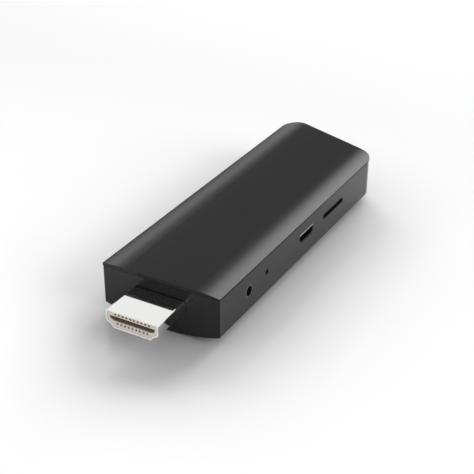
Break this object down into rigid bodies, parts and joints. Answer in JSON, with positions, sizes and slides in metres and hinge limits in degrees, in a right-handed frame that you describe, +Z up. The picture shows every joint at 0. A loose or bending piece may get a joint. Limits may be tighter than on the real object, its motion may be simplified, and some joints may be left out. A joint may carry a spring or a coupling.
{
  "type": "streaming stick",
  "caption": "Dark video stick with an HDMI plug on its front face, and a jack, reset hole, micro-USB inlet and microSD slot along one side.",
  "frame": {"origin": "middle of the whole stick's length and width, on the lowest line of the belly", "axes": "+Z up out of the lid, +Y away from the plug along the stick, +X out of the side with the ports"},
  "size_m": [0.0318, 0.1072, 0.0133],
  "materials": {
    "case_plastic": "satin moulded black plastic",
    "lid_plastic": "fine-grained satin black plastic",
    "circuit_board": "green solder mask",
    "screw_steel": "zinc-plated steel",
    "plug_metal": "bright nickel plate",
    "cream_plastic": "cream moulded insulator",
    "contact_gold": "gold flash",
    "socket_plastic": "black moulded nylon",
    "spring_metal": "tinned spring metal",
    "can_metal": "tin-plated sheet steel",
    "button_plastic": "moulded acetal",
    "chip_epoxy": "moulded epoxy",
    "ferrite": "pressed ferrite",
    "capacitor_ceramic": "fired ceramic",
    "antenna_ceramic": "white ceramic",
    "pad_silicone": "soft silicone pad",
    "spreader_aluminium": "rolled plate"
  },
  "bodies": {
    "stick": {"bottom_case": "case_plastic", "top_cover": "lid_plastic", "main_board": "circuit_board", "board_screws": "screw_steel", "hdmi_shell": "plug_metal", "hdmi_insulator": "cream_plastic", "hdmi_upper_contacts": "contact_gold", "hdmi_lower_contacts": "contact_gold", "jack_body": "socket_plastic", "jack_contacts": "spring_metal", "reset_switch_base": "socket_plastic", "reset_switch_frame": "can_metal", "reset_dome": "spring_metal", "reset_switch_terminals": "spring_metal", "usb_shell": "can_metal", "usb_insulator": "socket_plastic", "usb_contacts": "contact_gold", "card_socket_base": "socket_plastic", "card_socket_cover": "can_metal", "card_contacts": "contact_gold", "card_eject_spring": "spring_metal", "system_chip": "chip_epoxy", "memory_chips": "chip_epoxy", "flash_chip": "chip_epoxy", "power_chip": "chip_epoxy", "power_inductors": "ferrite", "crystals": "can_metal", "capacitors": "capacitor_ceramic", "wifi_board": "circuit_board", "wifi_shield": "can_metal", "chip_antenna": "antenna_ceramic", "shield_frame": "can_metal", "shield_lid": "can_metal", "thermal_pad": "pad_silicone", "gap_pad": "pad_silicone", "heat_spreader": "spreader_aluminium"},
    "plunger": {"reset_plunger": "button_plastic"},
    "slider": {"card_slider": "button_plastic"},
    "cam_pin": {"card_cam_pin": "spring_metal"}
  },
  "joints": [
    {"name": "reset_press", "type": "slide", "parent": "stick", "child": "plunger", "axis": [-1, 0, 0], "range_m": [0, 0.00025], "stiffness_N_per_m": 600, "springref_m": -0.0005, "deforming": ["reset_dome"]},
    {"name": "card_push", "type": "slide", "parent": "stick", "child": "slider", "axis": [-1, 0, 0], "range_m": [0, 0.0036], "stiffness_N_per_m": 150, "springref_m": -0.002, "deforming": ["card_eject_spring"]},
    {"name": "cam_pin_swing", "type": "hinge", "parent": "stick", "child": "cam_pin", "pos_m": [0.0136, 0.0242, 0.00891], "axis": [0, 0, 1], "range_deg": [0, 3.2]}
  ],
  "couplings": [
    {"joint": "cam_pin_swing", "follows": "card_push", "rad_per_m": 15.263}
  ]
}
